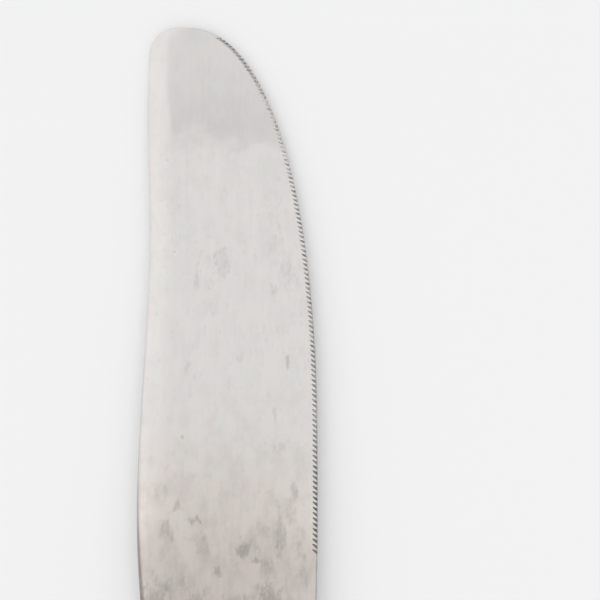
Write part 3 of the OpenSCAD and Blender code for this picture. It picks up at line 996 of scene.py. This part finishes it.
# %% [markdown]
# ## Tint, gloss and grinding lines
#
# The steel is a warm grey that browns behind the hump, and its tint drifts a little from green
# to pink. It is never a mirror: its roughness is near 0.2, and a little more where it is hazy or
# stained. That stays below 0.27, because above it the denoiser treats the reflection in another
# way, and a soft haze gets a hard, sparkling rim. The grinding lines are real scratches less
# than a thousandth of a millimetre deep, so a bump is the right place for them.

# %% Ground steel: colour and shine
def toned(tree, colour, tone):
    """A colour made darker or lighter by a tone."""
    return add_node(tree, "ShaderNodeVectorMath", {0: colour, "Scale": tone},
                    operation="SCALE").outputs[0]


def relief(tree, height, strength, distance):
    """A bumpy surface, as deep as the distance in metres."""
    return add_node(tree, "ShaderNodeBump", {
        "Height": height, "Strength": strength, "Distance": distance}).outputs[0]


cool_steel, brown_steel = (0.660, 0.639, 0.625, 1), (0.674, 0.618, 0.578, 1)
green_tint, pink_tint = (0.991, 1.004, 0.998, 1), (1.009, 0.996, 1.004, 1)
browned = times(tree, rear, remap(tree, along, 26, 50, 0.35, 1.0))
bare = blend_colour(tree, browned, cool_steel, brown_steel)
tint = remap(tree, noise(tree, place, (2.2, 3.0, 3.0), detail=3.0, shift=11.0), 0.35, 0.65)
bare = blend_colour(tree, 1.0, bare, blend_colour(tree, tint, green_tint, pink_tint), "MULTIPLY")
gloss = plus(tree, remap(tree, streaks, 0.3, 0.7, 0.195, 0.215),
             times(tree, plus(tree, haze, marks), 0.04))
connect(tree, shader, {"Base Color": toned(tree, bare, tone), "Metallic": 1.0, "Roughness": gloss,
                       "Normal": relief(tree, streaks, 0.14, 0.0000006)})
print("ground steel has", len(tree.nodes), "nodes")

# %% [markdown]
# ## Steel in the grooves
#
# The grooves are cut and never polished, and they hold grime; their steel is also darkened as
# painted shade in these recesses, so they look like a row of dark dots. They are darkest behind
# the hump and brightest just behind the round of the tip. The boolean gave their faces a
# material of their own, so no mask is needed.

# %% Steel in the grooves of the serration
tree, shader = start_finish(groove_steel)
place = in_mm(tree)
grime = noise(tree, place, (0.3, 0.3, 0.3), detail=4.0)
along = add_node(tree, "ShaderNodeSeparateXYZ", {0: place}).outputs["Y"]
# The grooves' darkness is partly grime and partly painted shade
level = remap(tree, along, 100, 108, 0.32, 0.46)
level = minus(tree, level, plus(tree, remap(tree, along, 115, 119, 0.0, 0.12),
                                remap(tree, along, 74, 64, 0.0, 0.14)))
level = times(tree, level, remap(tree, grime, 0.3, 0.7, 0.6, 1.5))
connect(tree, shader, {"Base Color": toned(tree, (1.04, 1.0, 0.95), level), "Metallic": 1.0,
                       "Roughness": remap(tree, grime, 0.3, 0.7, 0.35, 0.5)})
print("groove steel has", len(tree.nodes), "nodes")

# %% [markdown]
# ## Handle metal
#
# The ferrule and the handle are brighter than the blade, but a handle that is washed and held for
# years is never a clean mirror. It carries fine scratches in every direction, smudges that dull
# the gloss more than the colour, and dark tarnish where a cloth doesn't reach. Scratches can be
# modelled or painted. Here they are noise stretched into thin threads and cut off high up.

# %% Scratches and smudges
def threads(tree, place, angle, length, cut_from, cut_to, shift):
    """Thin scratches of some length that run at an angle to the handle, from 0 to 1."""
    turned = add_node(tree, "ShaderNodeMapping", {
        "Vector": place, "Rotation": (0, 0, radians(angle))}).outputs[0]
    fine = noise(tree, turned, (0.10, length, 0.4), detail=2.0, shift=shift)
    return remap(tree, fine, cut_from, cut_to)


silver, tree, shader = new_material("worn_polish")
place = in_mm(tree)
split = add_node(tree, "ShaderNodeSeparateXYZ", {0: place})
along, up = split.outputs["Y"], split.outputs["Z"]
scratches = threads(tree, place, 6, 9.0, 0.66, 0.74, 1.0)
for angle, length, shift in ((-14, 6.0, 5.0), (33, 5.0, 9.0), (-52, 4.0, 13.0), (78, 4.5, 17.0)):
    scratches = calc(tree, "MAXIMUM", scratches,
                     threads(tree, place, angle, length, 0.68, 0.75, shift))
smudges = noise(tree, place, (4.0, 12.0, 4.0), detail=6.0, roughness=0.66, shift=2.0)
smudges = remap(tree, smudges, 0.34, 0.68)
spots = remap(tree, noise(tree, place, (0.9, 1.3, 0.9), detail=4.0, shift=23.0), 0.66, 0.74)
print("scratches and smudges:", len(tree.nodes), "nodes")

# %% Tarnish where a cloth doesn't reach
seam_end, seam_start = -shell_d + 0.2, -shell_d - 0.3
grime = noise(tree, place, (0.8, 1.6, 0.8), detail=4.0, shift=29.0)
tarnish = times(tree, remap(tree, calc(tree, "ABSOLUTE", up), 0.55, 0.10, 0.0, 0.35),
                remap(tree, along, seam_end, seam_start))
for at, reach, depth in ((0.0, 0.45, 0.50), (-chamfer_l, 0.35, 0.40),
                         (-chamfer_l - bead_l, 0.55, 0.45), (-ferrule_l, 0.40, 0.50),
                         (-shell_d, 0.40, 0.50)):
    tarnish = calc(tree, "MAXIMUM", tarnish,
                   dirt_ring(tree, along, at, reach, reach * 0.2, depth))
tarnish = times(tree, tarnish, remap(tree, grime, 0.3, 0.65, 0.55, 1.15))
print("with tarnish:", len(tree.nodes), "nodes")

# %% Handle metal: colour and shine
clean_silver, smudged_silver = (0.702, 0.683, 0.661, 1), (0.694, 0.671, 0.645, 1)
tone = darker(tree, remap(tree, smudges, 0.0, 1.0, 1.0, 0.965), tarnish)
tone = darker(tree, tone, times(tree, scratches, 0.10))
tone = darker(tree, tone, times(tree, spots, 0.12))
bare = blend_colour(tree, smudges, clean_silver, smudged_silver)
dulled = plus(tree, times(tree, scratches, 0.12), times(tree, smudges, 0.05))
dulled = plus(tree, dulled, times(tree, tarnish, 0.35))
cuts = relief(tree, minus(tree, 1.0, scratches), 0.25, 0.000004)
connect(tree, shader, {"Base Color": toned(tree, bare, tone), "Metallic": 1.0,
                       "Roughness": plus(tree, dulled, 0.13), "Normal": cuts})
print("worn polish has", len(tree.nodes), "nodes")

# %% [markdown]
# ## Solder and cement
#
# Solder sets dull and slightly grainy, and shows only as a hairline in the seams. The cement is
# out of sight until the handle is opened: a pale brown paste, coarse and full of small pits.
# Both stay CAD solids, because their shapes are right, and only get a finish.

# %% Solder
solder, tree, shader = new_material("dull_solder")
place = in_mm(tree)
grain = noise(tree, place, (0.25, 0.25, 0.25), detail=4.0)
blotches = noise(tree, place, (2.0, 3.0, 2.0), detail=3.0, shift=4.0)
tone = blend_colour(tree, blotches, (0.34, 0.335, 0.32, 1), (0.52, 0.51, 0.49, 1))
connect(tree, shader, {"Base Color": tone, "Metallic": 1.0,
                       "Roughness": remap(tree, grain, 0.3, 0.7, 0.36, 0.52),
                       "Normal": relief(tree, grain, 0.4, 0.00002)})
print("dull solder has", len(tree.nodes), "nodes")

# %% Cement
cement, tree, shader = new_material("set_cement")
place = in_mm(tree)
grain = noise(tree, place, (0.5, 0.5, 0.5), detail=6.0, roughness=0.6)
pits = remap(tree, noise(tree, place, (0.9, 0.9, 0.9), detail=2.0, shift=6.0), 0.62, 0.70)
paste = blend_colour(tree, grain, (0.36, 0.31, 0.25, 1), (0.56, 0.51, 0.43, 1))
# The pits are painted darker, painted shade inside them
tone = blend_colour(tree, pits, paste, (0.22, 0.18, 0.14, 1))
connect(tree, shader, {"Base Color": tone, "Roughness": 0.9,
                       "Normal": relief(tree, minus(tree, grain, pits), 0.6, 0.0001)})
print("set cement has", len(tree.nodes), "nodes")

# %% [markdown]
# ## Into the frame
#
# Each smooth piece takes the place of its CAD node and rides on the part's one body, so that the
# CAD model and the picture stay the same object. The two solder films and the cement keep their
# CAD shape, and each of their material slots gets the new finish.

# %% Dress the pieces and tie them to the frame
for piece, node, slot in ((blade, "blade", "blade_steel"), (ferrule, "ferrule", "handle_metal"),
                          (upper_shell, "handle_shell_upper", "handle_metal"),
                          (lower_shell, "handle_shell_lower", "handle_metal")):
    if piece != blade:
        piece.data.materials.clear()
        piece.data.materials.append(silver)
    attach(piece, "root")
    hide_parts(node)
for node, finish in (("ferrule_solder", solder), ("seam_solder", solder), ("cement_core", cement)):
    for material_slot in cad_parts[node].material_slots:
        material_slot.material = finish
    print(node, "in", finish.name)
